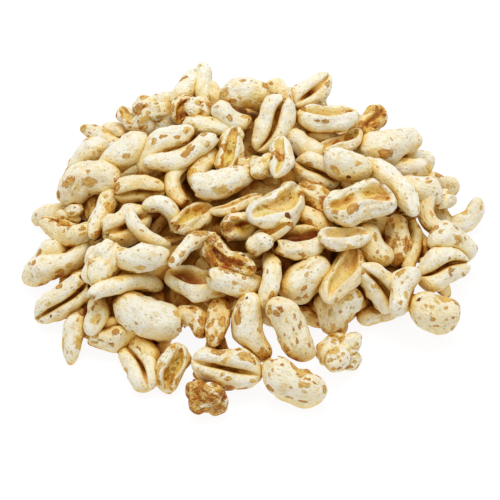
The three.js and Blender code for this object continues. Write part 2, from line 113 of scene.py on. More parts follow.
# The puffs that show: kind, look, how far across and up on the sheet its middle is seen, the heading of its
# long axis in degrees, its seen length and width, and where they aren't its kind's own, its roll and bend.
# The look is how thickly bran lies on it, from 0 for not at all to 1 for much, or above that for more, and
# how yellow it is, from 0 to 1. Where it is None, chance settles both.
SHOWN = [
    # back edge, left to right
    ("whole", None, -32.8, 18.6, 35, 9.5, 6.2),
    ("whole", None, -29.8, 22.6, -22, 10.5, 3.8),
    ("open", (0.9, 0.5), -24.6, 26.4, -50, 6, 4.2),
    ("popped", (0.8, 0.7), -18.8, 27.4, 20, 10.2, 9),
    ("whole", None, -7.4, 30.4, -20, 8.6, 5.4),
    ("whole", (0.3, 0.2), -13, 32.4, 48, 8.4, 5.2),
    ("whole", (0.1, 0), -9.6, 33.2, 96, 8.8, 4.2),
    ("branny", (2, 1), -13.8, 28.2, 60, 6.4, 4.8),
    ("popped", None, -10.2, 28, 0, 5.6, 5),
    ("whole", (0.8, 0.3), 0.2, 31.2, -5, 13.4, 6.8),
    ("whole", (1.2, 0.4), -4.2, 26.6, -20, 8.6, 5.2),
    ("whole", None, 5.6, 31.4, -40, 6.4, 4.2),
    ("split", (0.4, 0.3), 12, 31.8, 42, 9.6, 6),
    ("whole", None, 14, 22.4, 0, 8.6, 4.6),
    ("open", (0.3, 0), 15.2, 26.4, 3, 12.6, 7.6, -62, 26),
    ("whole", (0.4, 0.4), 27.8, 20.8, 12, 12.4, 7.2),
    ("open", (0.6, 0.5), 18.2, 21.4, 30, 9.4, 5, -50),
    ("branny", (1.6, 1), 23.8, 25.6, 58, 7.8, 4.6),
    # left flank
    ("whole", (0.3, 0.3), -42, -2.6, 42, 12, 7.2),
    ("curled", (1.2, 1), -36.8, 4.4, -8, 10.6, 5.6, -65, 90),
    ("popped", None, -36.2, 7.2, 0, 5, 4.6),
    ("whole", (0.6, 0.3), -29.2, 8.2, 66, 12.8, 4.8),
    ("whole", (0.6, 0.6), -32.8, 13.6, 22, 13.6, 8.2),
    ("whole", (0.2, 0.2), -25.2, 19.4, 30, 11.6, 6.8),
    ("whole", (0.6, 0.2), -9.2, 24.6, -8, 10, 4.6),
    ("whole", (0.3, 0.1), -17.8, 20.4, 42, 14.6, 5.8),
    ("whole", None, -9.8, 16.4, 60, 9, 4.6),
    ("curled", None, -13.8, 13.4, 80, 8.6, 4.6, 80, 150),
    ("split", None, -22.4, 12, 5, 10.6, 6.6, 35),
    ("whole", (0.4, 0.1), -13.8, 19, 19, 16.2, 4.8),
    ("split", None, -25, 5, 24, 10.6, 8),
    ("whole", (0.2, 0), -20.8, 3.8, -40, 11, 4, -95, 70),
    ("curled", (0.1, 0), -17.6, 6.8, -38, 8, 4.2, 75, 150),
    # crown
    ("branny", None, -2.4, 4.8, 20, 8, 6),
    ("open", None, -11.8, 6.4, 30, 9, 6, -30),
    ("open", None, -4.2, 20, 74, 10, 5.6),
    ("popped", None, -0.4, 16.6, 0, 5.6, 5),
    ("whole", (0.4, 0.1), -6, 13.4, 10, 13, 6.6),
    ("whole", None, 10.2, 20.6, -40, 10, 5.6),
    ("split", (0.2, 0.1), 4.2, 26, 60, 12.6, 7.6),
    ("popped", None, 2.8, 16.8, 0, 6, 5.4),
    ("open", (0.3, 0.2), 5.8, 18.4, 80, 8.4, 5.2, -20),
    ("split", (0.3, 0), 13, 15.6, -25, 9.8, 8),
    ("open", (0.3, 0.6), -3, 8.8, 15, 11.4, 3.8, -60),
    ("branny", (1.4, 1), 13.2, 10, -45, 10, 6, 170),
    ("whole", None, 12.6, 5.8, -30, 9.8, 4.8),
    ("open", (0.4, 0.1), 4.8, 8.6, 32, 11.8, 8.2, -14),
    # right flank
    ("whole", None, 33.2, 11.8, -22, 10, 6.2),
    ("curled", (0.5, 0.7), 36.8, 7.6, 105, 8.6, 4.2, 90, 170),
    ("popped", (0.3, 0.5), 38.4, 10, 30, 4.6, 3.8),
    ("curled", (0.6, 0.3), 42.6, 6.4, 40, 7, 5, -90, 140),
    ("whole", None, 27.8, 12.8, -47, 15, 5.6, 120, 40),
    ("whole", (0.3, 0), 19, 16.8, -20, 9.8, 6.8),
    ("open", (0.5, 0.1), 21.4, 9.2, 5, 14.6, 9.6, -34),
    ("branny", (1.3, 1), 28.8, 2, 88, 10.4, 5.8, 160),
    ("whole", None, 32, 0.8, 86, 11, 3.6),
    ("whole", (0.7, 0.3), 40, 1.4, -12, 9.8, 6.6),
    ("split", (0.2, 0), 38, -3.6, 15, 11, 8.4),
    # middle
    ("whole", (0.5, 0.1), -38, -2.4, 30, 13.6, 5.6),
    ("split", (0.7, 0.4), -37.2, -10, 36, 14, 7.2),
    ("whole", (0.5, 0.4), -35.4, -17.6, 80, 10.8, 4.6),
    ("branny", (1.3, 0.6), -28.6, -17.6, 8, 8.8, 5.8, -140),
    ("whole", (0.1, 0.1), -31, -13.2, 80, 7.6, 5),
    ("popped", (0.1, 0), -29.8, -2.4, 70, 9.6, 7.6),
    ("whole", (0.4, 0), -22.2, -1.2, 3, 11.4, 6.6, -100, 40),
    ("whole", (1.4, 0.6), -11.4, -13.8, -40, 8, 5.2),
    ("whole", (0.7, 0.2), -20.6, -13.2, -22, 15, 8.8),
    ("whole", (0, 0), -25.2, -7.6, 8, 15, 4.8, 90, 50),
    ("hollow", (0, 0), -10.8, -6.6, -6, 13.6, 8, -50),
    ("whole", (0.5, 0.3), -11.8, 0.6, 32, 11.8, 3.8),
    ("whole", (0.5, 0.3), 10.4, -6, 38, 12, 8.2),
    ("whole", (0.3, 0.2), -3, -6.6, -10, 12.4, 5.8),
    ("whole", (0.1, 0), 3, -5.6, 84, 10.8, 5, -90, 64),
    ("branny", (2, 0.8), -4.6, -1.6, -32, 12, 6),
    ("hollow", (0.1, 0), 9.2, 1.8, 5, 11.4, 8.2, -44),
    ("open", None, 4.2, 3.8, 22, 8.6, 4),
    ("whole", None, 1.6, 1.2, 20, 5.4, 4.6),
    ("whole", None, 23.8, 0.8, -38, 10.4, 7),
    ("open", (0.2, 0), 18.4, 2.4, 2, 10.6, 6, -52),
    ("whole", None, 25, -12.8, 8, 8.6, 4.4),
    ("whole", (1, 0.4), 16.8, -11.6, 60, 10.8, 8.4),
    ("open", (0.3, 1), 18, -5.2, 64, 12.4, 7),
    ("split", (0.4, 0.1), 25.6, -7.2, -46, 12, 7),
    ("whole", None, 30, -8.2, 62, 10.6, 5.4),
    ("whole", (1, 0.8), 36, -12.4, -24, 9.8, 8.8),
    # front fringe, on the table
    ("whole", (1.6, 1), -7, -14.2, 82, 9.6, 5),
    ("open", (1, 0.3), -15.8, -23.4, 76, 10.4, 6.6, 8),
    ("split", (0.1, 0.1), -22.2, -23.2, -62, 9.8, 7),
    ("split", (0.8, 0.2), -5, -23.4, -13, 14.4, 8.6),
    ("whole", (0.7, 0.4), 0, -15.4, -76, 14.4, 6.6),
    ("whole", (1.2, 0.7), 7.8, -15.6, -56, 14.4, 7.4),
    ("popped", (2.6, 0.4), -9, -30.8, 0, 8.2, 7.8),
    ("whole", (0.9, 0.5), 8.6, -25.4, -28, 12.2, 9.4, -90, 104),
    ("popped", (0.9, 0.4), 18.2, -21, 35, 9.8, 8),
]

# The bed of puffs that fills the gaps.
BED_SPACE = (7.5, 6.2)  # the space between puffs along a row, and between rows
BED_SUNK = 2.4  # how deep they are sunk in the mounds
BED_SEED = 77  # what is laid a second time takes the next number
BED_STRAY = 0.5  # how far one may lie from its even place in the row, as a share of the space
BED_COVERED = 0.8  # how far out of another mound one must lie, squared: 1 is on its surface
QUARTER_ROUND = 0.8  # about a quarter of an ellipse's outline, as a share of its half sizes' sum
LOW_BACK = (20, 12)  # behind the first and below the second the bed is laid twice, as few puffs cover it

# Where the table shows between the puffs at the front and the right: across and up on the sheet, and how
# wide. No puff of the bed is seen there.
BARE_SPOTS = [
    (-3.2, -17.3, 4.6),
    (-11, -17.4, 4.2),
    (4.6, -18.4, 4.4),
    (14.8, -19.2, 5.5),
    (1.8, -27.6, 6),
    (-13, -28, 5),
    (34.4, 1.6, 4),
    (32.4, -4.4, 3),
]

# ---- How puffs are shaped

# The fineness of each kind's mesh: places round a section, and rings along the puff.
GRID = {
    "whole": (44, 34),
    "split": (60, 36),
    "open": (60, 36),
    "hollow": (60, 36),
    "branny": (60, 36),
    "curled": (52, 44),
    "popped": (60, 44),
}
BED_GRID = (30, 18)
TIP_GAP = 0.9  # how far from a puff's tip its first ring lies, as a share of the space between rings
GROOVE_SHARE = 0.3  # share of a section's places that lie in the groove

# The groove of each kind: the angle from its middle to its rim, in radians, how deep it cuts, how far its
# rims roll in and how far they stand up, the last three as shares of the section's radius, how steep its
# walls are, and how near the puff's ends it runs out, both as powers: higher is steeper and nearer.
GROOVES = {
    "whole": {"rim": 0.16, "cut": 0.35, "roll_in": 0.12, "lip": 0, "walls": 2.4, "ends": 6},
    "split": {"rim": 0.18, "cut": 0.8, "roll_in": 0.34, "lip": 0.04, "walls": 2.4, "ends": 4},
    "open": {"rim": 0.46, "cut": 0.9, "roll_in": 0.0, "lip": 0.24, "walls": 5, "ends": 5},
    "hollow": {"rim": 0.48, "cut": 1.0, "roll_in": 0.0, "lip": 0.2, "walls": 4, "ends": 5},
    "branny": {"rim": 0.52, "cut": 0.6, "roll_in": 0.05, "lip": 0.12, "walls": 2.4, "ends": 8},
    "curled": {"rim": 0.3, "cut": 0.6, "roll_in": 0.2, "lip": 0.05, "walls": 3, "ends": 6},
}
ROLL_REACH = 0.45  # how far from the groove's middle its rims roll in, in radians
LIP_PLACE = 0.22  # how far outside the rim a lip stands highest, in radians
LIP_REACH = 0.26  # how far a lip reaches to either side of that
FLOOR_DEPTH = 0.5  # how near a groove may come to the puff's underside, as a share of its radius
RIM_SHADE = 0.35  # how deep in the groove its rim counts as lying: its bottom is 1
RIM_FADE = 9  # how fast that falls off outside the rim
CORNER_ROUNDS = 2  # how many times a section's corners are rounded

# How chance changes a creased puff. Waves are the turn, in radians, from the puff's middle to its tip.
SHALLOWER = 0.25  # half of how much shallower the groove may get in places, as a share of its depth
SHALLOW_WAVES = 4.5
GAPE_SPREAD = 0.4  # how far grooves differ in how wide they gape
GAPE_CLOSED = 0.4  # how far one closes towards the puff's ends
RIM_WAVER = 0.25  # how far its rims waver
RIM_WAVES = (2, 3)  # the least, and how much more it may be
TAPER = 0.36  # how far a puff's ends may differ in thickness
PINCH = 0.045  # half of how far it may narrow in its middle and at its ends
PINCH_STRAY = 0.5  # how far apart the narrow places may lie from puff to puff
LOPSIDED = 0.16  # how far its sides may differ
SWAY = 0.14  # how far the puff sways from side to side at most, as a share of its length
SLIMMER = 0.94  # makes up for what lumps and lips add to a puff's width
END_FULLNESS = 3  # the power that shapes the ends of the fine puffs
FINE_LUMPS = [(0.09, 6.5), (0.045, 3), (0.02, 1.6)]  # lumps' heights, and their wavelengths

# Wrinkles: how high they stand on each kind, as a share of its radius, how far they are drawn out along
# the puff, their wavelength, and how much more they count in the groove.
WRINKLES = {"whole": 0.008, "split": 0.012, "open": 0.045, "hollow": 0.05, "branny": 0.06, "curled": 0.02}
WRINKLES_DRAWN = (0.4, 1, 1)
WRINKLE_LENGTH = 1.5
GROOVE_WRINKLES = 1.5

# The pits in puffs' ends: the share of puffs that have one, how wide and deep it is, as shares of the
# puff's width, and the waves that make its edge ragged: how many round it, and how high.
PITTED = 0.5
PIT_WIDTH = 0.5
PIT_DEPTH = 0.24
PIT_RAGS = [(2, 0.3), (5, 0.15)]

# A popped puff's lumps: how far out their middles lie, how far chance moves them, their radius, the least
# and the spread of its chance, and the radius of the ball between them, as shares of the puff's.
POPPED_OFFSET = 0.52
POPPED_STRAY = 0.9
POPPED_RADIUS = 0.56
POPPED_SIZES = (0.8, 0.4)
POPPED_MIDDLE = 0.7
POPPED_BLEND = 9  # the power that blends lumps where they meet: higher is sharper
POPPED_LUMPS = [(0.07, 1.3), (0.035, 0.5)]  # smaller lumps' heights, and their wavelengths
SEAM_WIDTH = 0.08  # the seams between lumps
SEAM_DEPTH = 0.08
SEAM_SHADE = 0.9  # how deep in a groove a seam counts as lying
SEAM_LENGTH = 1.1  # the wavelength of the places where seams fade out

# Soft lumps are made of waves: how many, and the least and the spread of their stretch.
WAVES = 5
WAVE_STRETCH = (0.7, 0.8)

# The core under the bed: the solid's mounds, lower all round and further back at the front, so that the
# table shows between the puffs that lie there.
CORE_MOUNDS = [
    ((0, 6, 0), (33.4, 23.9, 14.4)),
    ((-1, 17, 0), (23.4, 14.4, 15.4)),
    ((-25, -12, 0), (12.4, 12.4, 6.4)),
    ((-4, -10, 0), (17.4, 7.4, 4.4)),
    ((27.5, -9, 0), (5, 7, 3.6)),
]
CORE_GRID = (64, 20)
CORE_LUMPS = [(0.03, 9)]  # how high its lumps stand, as a share of its size, and their wavelength
CORE_LIFT = 0.2  # how far above the table it ends
CORE_SEED = 301

# The seeds of puffs' shapes: the first, and the step from each puff to the next.
PUFF_SEED = 1001
BED_PUFF_SEED = 5003
SEED_STEP = 7919
FIRST_DRAWS = 3  # numbers left unused, as the first ones of near seeds are near each other
CHANCE_FACTOR = 16807  # each number of a chance run is the last one times this, kept below the limit
CHANCE_LIMIT = 2**31 - 1
PATTERN_SHIFT = 400  # how far the patterns on two puffs may lie apart, so that no two are alike


def unit(vector):
    return vector / np.linalg.norm(vector)


def make_random(seed):
    """A repeatable run of numbers from 0 to 1."""
    state = seed

    def step():
        nonlocal state
        state = state * CHANCE_FACTOR % CHANCE_LIMIT
        return state / CHANCE_LIMIT

    return step


# ---- Laying puffs


def leave_ellipsoid(point, direction, middle, half):
    """How far along a direction a line leaves an ellipsoid, or minus infinity where it misses."""
    p = (point - middle) / half
    d = direction / half
    a = d @ d
    b = p @ d
    inside = b * b - a * (p @ p - 1)
    return -math.inf if inside < 0 else (-b + math.sqrt(inside)) / a


def skin_along(start, direction):
    """How far along a line the skin of puffs or the table is met, and the outward normal there."""
    found, normal = -start[2] / direction[2], UPRIGHT
    for middle, half in MOUNDS:
        grown = half + SHELL
        reach = leave_ellipsoid(start, direction, middle, grown)
        if reach > found:
            found, normal = reach, unit((start + reach * direction - middle) / grown**2)
    return found, normal


def axes_for(heading, roll, pitch, normal, view, right, up):
    """The puff's own axes: along its length, towards its crease, and across both; and how far it is drawn
    out so that it is seen at its full length."""
    seen = math.cos(heading) * right + math.sin(heading) * up
    level = -(seen @ normal) / (view @ normal)
    lean = min(max(level + pitch, -LEAN_LIMIT), LEAN_LIMIT)
    along = unit(seen + lean * view)
    facing = unit(view - (view @ along) * along)
    crease = math.cos(roll) * facing + math.sin(roll) * np.cross(along, facing)
    return along, crease, np.cross(along, crease), math.hypot(1, lean)


def spine(puff, t):
    """Points of the puff's bent middle line for t from -1 to 1, and the direction towards the crease."""
    t = np.atleast_1d(np.asarray(t, float))[:, None]
    half = puff["length"] / 2
    bend = puff["bend"]
    if bend < STRAIGHT:
        return t * half * puff["along"], np.repeat(puff["crease"][None], len(t), 0)
    turn = t * bend / 2
    radius = half / math.sin(min(bend / 2, math.pi / 2))
    sag = radius * (1 - np.cos(turn)) - radius * (1 - math.cos(bend / 2)) / 2
    at = radius * np.sin(turn) * puff["along"] + sag * puff["crease"]
    return at, np.cos(turn) * puff["crease"] - np.sin(turn) * puff["along"]


def girth(t):
    """A puff's thickness at t from -1 to 1, as a share of that in its middle."""
    return np.sqrt(np.maximum(0, 1 - np.abs(t) ** END_POWER))


def balls_of(puff):
    """The balls that stand for a puff while it is laid: middles and radii."""
    radii = girth(np.array(BALLS)) * puff["width"] * (1 + KINDS[puff["kind"]]["deep"]) / 4
    return spine(puff, BALLS)[0], radii


def ground_reach(balls, radii, start, view):
    """How far along the view a puff must lie for all of its balls to clear the table and the core."""
    reach = -math.inf
    for ball, radius in zip(balls, radii):
        p = start + ball
        reach = max(reach, (radius - p[2]) / view[2])
        for middle, half in MOUNDS:
            reach = max(reach, leave_ellipsoid(p, view, middle, half + radius * SOFTNESS))
    return reach


def heap_reach(balls, radii, start, view, heap):
    """How far along the view a puff must lie for all of its balls to clear those laid before it."""
    if not heap:
        return -math.inf
    others = np.array([place for place, _ in heap])
    sizes = np.array([radius for _, radius in heap])
    reach = -math.inf
    for ball, radius in zip(balls, radii):
        gap = start + ball - others
        b = gap @ view
        inside = b * b - (gap * gap).sum(1) + ((radius + sizes) * SOFTNESS) ** 2
        touching = inside > 0
        if touching.any():
            reach = max(reach, (-b[touching] + np.sqrt(inside[touching])).max())
    return reach


def lay(shape, start, heading, roll, frame, heap):
    """Lays a puff on the heap: of the tilts tried it takes the one that lets it lie lowest."""
    view = frame[0]
    skin, normal = skin_along(start, view)
    best = None
    for pitch in PITCHES:
        along, crease, across, stretch = axes_for(heading, roll, pitch, normal, *frame)
        puff = dict(shape, length=shape["length"] * stretch, along=along, crease=crease, across=across)
        balls, radii = balls_of(puff)
        lowest = max(ground_reach(balls, radii, start, view), skin - SINK)
        rest = min(heap_reach(balls, radii, start, view, heap), skin + LIFT)
        reach = max(lowest, rest)
        if best is None or reach < best[0]:
            best = reach, puff, balls, radii
    reach, puff, balls, radii = best
    middle = start + reach * view
    heap.extend((middle + ball, radius) for ball, radius in zip(balls, radii))
    puff["middle"] = middle - BITE * view
    return puff


def chance_shape(kind, random):
    """A puff whose size is left to chance."""
    length = BACK_LENGTH[0] + (BACK_LENGTH[1] - BACK_LENGTH[0]) * random()
    width = BACK_WIDTH[0] + (BACK_WIDTH[1] - BACK_WIDTH[0]) * random()
    bend = math.radians(KINDS[kind]["bend"])
    return {"kind": kind, "length": length, "width": width, "bend": bend, "look": None}


def lay_back(heap):
    """The rows round the back, each puff pushed in from outside."""
    random = make_random(BACK_SEED)
    middle, half = MOUNDS[0][0], MOUNDS[0][1] + SINK
    puffs = []
    for row, (height, count) in enumerate(BACK_ROWS):
        reach = math.sqrt(1 - (height / half[2]) ** 2)
        for i in range(count):
            shape = chance_shape(BACK_KINDS[(i + row) % len(BACK_KINDS)], random)
            turn = math.pi / 2 + ((i + 0.5) / count - 0.5) * BACK_SWEEP
            outward = unit(np.array([math.cos(turn) * half[1], math.sin(turn) * half[0], 0]))
            view = math.cos(BACK_TILT) * outward + math.sin(BACK_TILT) * UPRIGHT
            right = np.cross(UPRIGHT, outward)
            start = np.array([
                middle[0] + math.cos(turn) * half[0] * reach,
                middle[1] + math.sin(turn) * half[1] * reach,
                height + BACK_SHAKE * (random() - 0.5),
            ])
            heading, roll = random() * math.pi, random() * math.tau
            puffs.append(lay(shape, start, heading, roll, (view, right, np.cross(view, right)), heap))
    return puffs


def lay_shown(heap):
    """The puffs that show, each moved back along the sight line from its place on the sheet."""
    frame = (TO_EYE, RIGHT, UP)
    puffs = []
    for kind, look, across, up, heading, length, width, *turned in SHOWN:
        roll, bend = [*turned, *[KINDS[kind]["roll"], KINDS[kind]["bend"]][len(turned):]]
        shape = {"kind": kind, "length": length, "width": width, "bend": math.radians(bend), "look": look}
        start = across * RIGHT + up * UP
        puffs.append(lay(shape, start, math.radians(heading), math.radians(roll), frame, heap))
    return puffs


def no_bed_at(place, number, only_low_back):
    """Whether the bed has no puff at a place on one of the mounds."""
    for other, (middle, half) in enumerate(MOUNDS):
        if other != number and (((place - middle) / (half - BED_SUNK)) ** 2).sum() < BED_COVERED:
            return True
    for across, up, wide in BARE_SPOTS:
        if math.hypot(place @ RIGHT - across, place @ UP - up) < wide:
            return True
    return only_low_back and (place[1] < LOW_BACK[0] or place[2] > LOW_BACK[1])


def lay_bed(seed, only_low_back):
    """The bed: rows of puffs round each mound, sunk in it, where no other mound covers them."""
    random = make_random(seed)
    puffs = []
    for number, (middle, half) in enumerate(MOUNDS):
        rows = max(2, round(QUARTER_ROUND * (half[2] + half[1]) / BED_SPACE[1]))
        outline = math.tau * math.sqrt((half[0] ** 2 + half[1] ** 2) / 2)
        for row in range(rows):
            rise = (row + 0.5) / rows * math.pi / 2
            level = math.cos(rise)
            count = max(1, round(outline * level / BED_SPACE[0]))
            for i in range(count):
                turn = (i + random() * BED_STRAY + 0.5 * (row % 2)) / count * math.tau
                outward = np.array([level * math.cos(turn), level * math.sin(turn), math.sin(rise)])
                normal = unit(outward / half)
                shape = chance_shape(BACK_KINDS[int(random() * len(BACK_KINDS))], random)
                heading, roll = random() * math.tau, random() * math.tau
                place = middle + outward * half - BED_SUNK * normal
                if no_bed_at(place, number, only_low_back):
                    continue
                right = unit(np.cross(UPRIGHT, normal))
                frame = (normal, right, np.cross(normal, right))
                along, crease, across, _ = axes_for(heading, roll, 0, normal, *frame)
                puffs.append(dict(shape, along=along, crease=crease, across=across, middle=place))
    return puffs


# ---- Puff meshes


def ring_grid(around, along):
    """The faces of a closed tube of rings with a point at each end: quads and end triangles."""
    ring = np.arange(around)
    after = (ring + 1) % around
    low = 1 + np.arange(along - 1)[:, None] * around
    quads = np.stack([low + ring, low + after, low + around + after, low + around + ring], -1)
    last = 1 + along * around
    start = np.stack([np.zeros(around, int), 1 + after, 1 + ring], -1)
    end = np.stack([np.full(around, last), last - around + ring, last - around + after], -1)
    return quads.reshape(-1, 4), np.concatenate([start, end])


def ball_points(around, along):
    """A ball of radius 1: rings round its first axis, with a point at each end."""
    height = -np.cos(np.pi * (np.arange(along) + 1) / (along + 1))
    turn = np.arange(around) / around * math.tau
    height, turn = np.meshgrid(height, turn, indexing="ij")
    flat = np.sqrt(1 - height**2)
    rings = np.stack([height, flat * np.cos(turn), flat * np.sin(turn)], -1).reshape(-1, 3)
    return np.concatenate([[[-1.0, 0, 0]], rings, [[1.0, 0, 0]]])


def smooth_lumps(points, random, wavelength):
    """Soft lumps with a height of about -1 to 1: a few waves in directions left to chance."""
    total = np.zeros(len(points))
    least, more = WAVE_STRETCH
    for _ in range(WAVES):
        height = 2 * random() - 1
        turn = random() * math.tau
        flat = math.sqrt(1 - height * height)
        direction = np.array([flat * math.cos(turn), flat * math.sin(turn), height])
        stretch = least + more * random()
        total += np.sin(points @ direction * math.tau / (wavelength * stretch) + random() * math.tau)
    return total / math.sqrt(WAVES)


def swelling(points, random, lumps):
    """How far each point swells, about 1, for lumps of several heights and wavelengths."""
    swell = np.ones(len(points))
    for height, wavelength in lumps:
        swell += height * smooth_lumps(points, random, wavelength)
    return swell


def smooth_round(values):
    """Rounds a section's corners: each place takes on some of its neighbours' on the same ring."""
    for _ in range(CORNER_ROUNDS):
        values = (np.roll(values, 1, 1) + 2 * values + np.roll(values, -1, 1)) / 4
    return values


def section(kind, around, fade, openings):
    """Each ring's breadth, its depth towards the crease, and how far in the groove each place lies.

    fade gives how deep each ring's groove is, and openings how wide it gapes on its one side and on its
    other, as shares of the kind's own.
    """
    groove = GROOVES[kind]
    step = 2 * np.arange(around) / around - 1
    share, side = np.abs(step), np.sign(step)
    inner = np.clip(share / GROOVE_SHARE, 0, 1)
    outer = np.clip((share - GROOVE_SHARE) / (1 - GROOVE_SHARE), 0, 1)
    rim = groove["rim"] * np.where(side < 0, openings[0], openings[1])
    angle = rim + outer * (math.pi - rim)
    rolled = 1 - groove["roll_in"] * np.exp(-((angle / ROLL_REACH) ** 2))
    rolled = rolled + groove["lip"] * np.exp(-(((angle - rim - LIP_PLACE) / LIP_REACH) ** 2))
    breadth = side * np.where(share < GROOVE_SHARE, inner * np.sin(rim), np.sin(angle))
    sunk = (1 - inner ** groove["walls"]) * fade
    rounded = np.cos(angle) * rolled
    cut = np.maximum(rounded - groove["cut"] * sunk, -FLOOR_DEPTH)
    depth = np.where(share < GROOVE_SHARE, cut, rounded)
    in_groove = RIM_SHADE + (1 - RIM_SHADE) * sunk
    shade = np.where(share < GROOVE_SHARE, in_groove, RIM_SHADE * np.exp(-outer * RIM_FADE)) * fade
    return smooth_round(breadth), smooth_round(depth), smooth_round(shade)


def end_pit(t, around, width, random):
    """A ragged pit in one end of some puffs: how far places move along the puff, and how deep they are."""
    if random() > PITTED:
        return np.zeros((len(t), around)), np.zeros((len(t), around))
    end = 1 if random() < 0.5 else -1
    turn = np.arange(around) / around * math.tau
    ragged = 1
    for waves, height in PIT_RAGS:
        ragged = ragged + height * np.sin(waves * turn + random() * math.tau)
    out = np.sqrt(1 - np.abs(t) ** END_FULLNESS) / (PIT_WIDTH * ragged)
    deep = np.clip(1 - out**2, 0, 1) * (t * end > 0)
    return -end * PIT_DEPTH * width * deep, np.sqrt(deep)


def groove_on(kind, t, random):
    """How deep each ring's groove is and how wide it gapes to its two sides, as shares of the kind's."""
    fade = 1 - np.abs(t) ** GROOVES[kind]["ends"]
    fade = fade * (1 - SHALLOWER * random() * (1 + np.cos(SHALLOW_WAVES * t + random() * math.tau)))
    gape = (1 + GAPE_SPREAD * (random() - 0.5)) * (1 - GAPE_CLOSED * t * t)
    openings = []
    for _ in range(2):
        waves = RIM_WAVES[0] + RIM_WAVES[1] * random()
        openings.append(gape + RIM_WAVER * np.sin(waves * t + random() * math.tau))
    return fade, openings


def ring_radius(width, t, random):
    """Each ring's radius: a puff is fuller towards one end, and pinched in places."""
    taper = 1 + (random() - 0.5) * TAPER * t
    pinch = 1 - PINCH * random() * (1 + np.cos(math.tau * (t - PINCH_STRAY * (random() - 0.5))))
    return np.sqrt(1 - np.abs(t) ** END_FULLNESS) * taper * pinch * width * SLIMMER / 2


def creased_points(puff, grid, random):
    """A creased puff's points, their places in its straightened frame, and their depth in the groove."""
    around, along = grid
    kind, length, width = puff["kind"], puff["length"], puff["width"]
    t = -np.cos(np.pi * (np.arange(along) + TIP_GAP) / (along - 1 + 2 * TIP_GAP))[:, None]
    breadth, depth, groove = section(kind, around, *groove_on(kind, t, random))
    radius = ring_radius(width, t, random)
    breadth = breadth * radius * (1 + LOPSIDED * (random() - 0.5) * breadth)
    depth = depth * radius * KINDS[kind]["deep"]
    straight = np.stack([np.broadcast_to(t * length / 2, depth.shape), depth, breadth], -1).reshape(-1, 3)

    swell = swelling(straight, random, FINE_LUMPS).reshape(depth.shape)
    wrinkles = smooth_lumps(straight * WRINKLES_DRAWN, random, WRINKLE_LENGTH).reshape(depth.shape)
    wrinkles *= WRINKLES[kind]
    swell += wrinkles
    depth = depth + wrinkles * radius * groove * GROOVE_WRINKLES
    pit, pitted = end_pit(t, around, width, random)
    at, inward = spine(puff, t[:, 0])
    sway = SWAY * length * (random() - 0.5) * np.sin(math.pi * t + random() * math.tau)
    points = (
        at[:, None]
        + (depth * swell)[..., None] * inward[:, None]
        + (breadth * swell + sway)[..., None] * puff["across"]
        + pit[..., None] * puff["along"]
    )

    groove = np.maximum(groove, pitted)
    groove = np.concatenate([[groove[0].mean()], groove.ravel(), [groove[-1].mean()]])
    tips = np.array([[-1.0, 0, 0], [1.0, 0, 0]]) * length / 2
    straight = np.concatenate([tips[:1], straight, tips[1:]])
    first, last = points[0].mean(0, keepdims=True), points[-1].mean(0, keepdims=True)
    return np.concatenate([first, points.reshape(-1, 3), last]), straight, groove


def popped_reaches(directions, random):
    """How far each lump of a popped puff reaches in each direction, the shortest first."""
    golden = math.pi * (3 - math.sqrt(5))
    least, more = POPPED_SIZES
    reaches = []
    for i in range(LUMPS):
        rise = 1 - (2 * i + 1) / LUMPS
        flat = math.sqrt(1 - rise * rise)
        centre = np.array([flat * math.cos(i * golden), flat * math.sin(i * golden), rise])
        stray = np.array([random() - 0.5, random() - 0.5, random() - 0.5])
        centre = unit(centre + POPPED_STRAY * stray)
        radius = POPPED_RADIUS * (least + more * random())
        b = directions @ centre * POPPED_OFFSET
        inside = b * b - POPPED_OFFSET**2 + radius**2
        reaches.append(np.where(inside > 0, b + np.sqrt(np.maximum(0, inside)), POPPED_MIDDLE))
    return np.sort(np.stack(reaches), 0)


def popped_points(puff, grid, random):
    """A popped puff's points, their places in its own frame, and how deep between its lumps each is."""
    directions = ball_points(*grid)
    reaches = popped_reaches(directions, random)
    swell = (reaches**POPPED_BLEND).sum(0) ** (1 / POPPED_BLEND)
    swell *= swelling(directions, random, POPPED_LUMPS)
    seams = np.exp(-(((reaches[-1] - reaches[-2]) / SEAM_WIDTH) ** 2))
    seams *= np.clip(0.5 + 0.5 * smooth_lumps(directions, random, SEAM_LENGTH), 0, 1)
    swell -= SEAM_DEPTH * seams
    sizes = np.array([puff["length"], puff["width"] * KINDS["popped"]["deep"], puff["width"]])
    straight = directions * swell[:, None] * sizes / 2
    axes = np.array([puff["along"], puff["crease"], puff["across"]])
    return straight @ axes, straight, SEAM_SHADE * seams


def new_object(name, data):
    """An object in the scene that shows a mesh, a light or a camera."""
    made = bpy.data.objects.new(name, data)
    bpy.context.scene.collection.objects.link(made)
    return made


